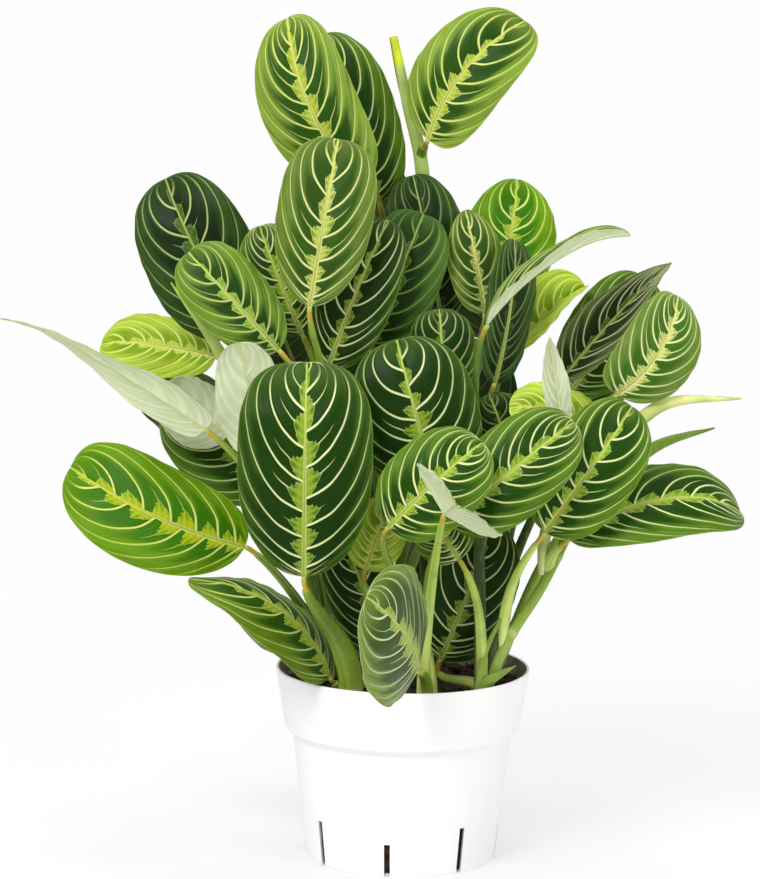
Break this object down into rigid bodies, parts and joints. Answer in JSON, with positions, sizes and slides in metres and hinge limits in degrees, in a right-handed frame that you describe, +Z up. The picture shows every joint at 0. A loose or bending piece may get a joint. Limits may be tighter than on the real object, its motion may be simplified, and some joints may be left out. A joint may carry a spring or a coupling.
{
  "type": "potted prayer plant maranta",
  "caption": "Prayer plant with broad patterned leaves on sheathed stalks, standing in potting mix in a tapered white nursery pot with drain slots.",
  "frame": {"origin": "centre of the pot's flat base, which stands on the surface", "axes": "+Z up, -Y towards the side that the picture shows, +X to the right in it"},
  "size_m": [0.4325, 0.3203, 0.5079],
  "materials": {
    "pot": "smooth white moulded plastic",
    "potting_mix": "dark crumbly fibrous mix",
    "stalk": "satin, pale yellow-green",
    "leaf_dark": "satin deep green with a lime band on the midrib and pale veins",
    "leaf_mid": "satin mid green with a lime band on the midrib and pale veins",
    "leaf_lime": "satin yellow-green with pale veins",
    "leaf_pale": "silvery green underside turned to the front"
  },
  "bodies": {
    "root": {"leaf_back_1": "leaf_dark", "leaf_back_2": "leaf_dark", "leaf_back_3": "leaf_dark", "leaf_back_4": "leaf_dark", "leaf_back_5": "leaf_dark", "leaf_back_6": "leaf_dark", "leaf_back_7": "leaf_dark", "leaf_back_8": "leaf_dark", "leaf_back_9": "leaf_dark", "leaf_centre_1": "leaf_dark", "leaf_centre_2": "leaf_mid", "leaf_centre_3": "leaf_dark", "leaf_centre_4": "leaf_dark", "leaf_centre_5": "leaf_dark", "leaf_centre_6": "leaf_mid", "leaf_centre_7": "leaf_dark", "leaf_front_1": "leaf_dark", "leaf_front_2": "leaf_dark", "leaf_front_3": "leaf_mid", "leaf_front_4": "leaf_lime", "leaf_front_left_1": "leaf_dark", "leaf_front_left_2": "leaf_dark", "leaf_front_left_3": "leaf_dark", "leaf_front_right_1": "leaf_dark", "leaf_front_right_2": "leaf_dark", "leaf_front_right_3": "leaf_mid", "leaf_front_right_4": "leaf_dark", "leaf_front_right_5": "leaf_lime", "leaf_front_right_6": "leaf_mid", "leaf_left_1": "leaf_dark", "leaf_left_2": "leaf_lime", "leaf_left_3": "leaf_pale", "leaf_left_4": "leaf_pale", "leaf_left_5": "leaf_dark", "leaf_left_6": "leaf_dark", "leaf_left_7": "leaf_pale", "leaf_left_8": "leaf_pale", "leaf_right_1": "leaf_dark", "leaf_right_2": "leaf_dark", "leaf_right_3": "leaf_dark", "leaf_right_4": "leaf_lime", "leaf_right_5": "leaf_dark", "leaf_tall_1": "leaf_mid", "leaf_tall_2": "leaf_dark", "leaf_tall_3": "leaf_mid", "leaf_tall_4": "leaf_dark", "leaf_tall_5": "leaf_dark", "leaf_tall_6": "leaf_dark", "leaf_tall_7": "leaf_dark", "pot": "pot", "potting_mix": "potting_mix", "stalks_back": "stalk", "stalks_centre": "stalk", "stalks_front": "stalk", "stalks_front_left": "stalk", "stalks_front_right": "stalk", "stalks_left": "stalk", "stalks_right": "stalk", "stalks_tall": "stalk"}
  },
  "joints": []
}
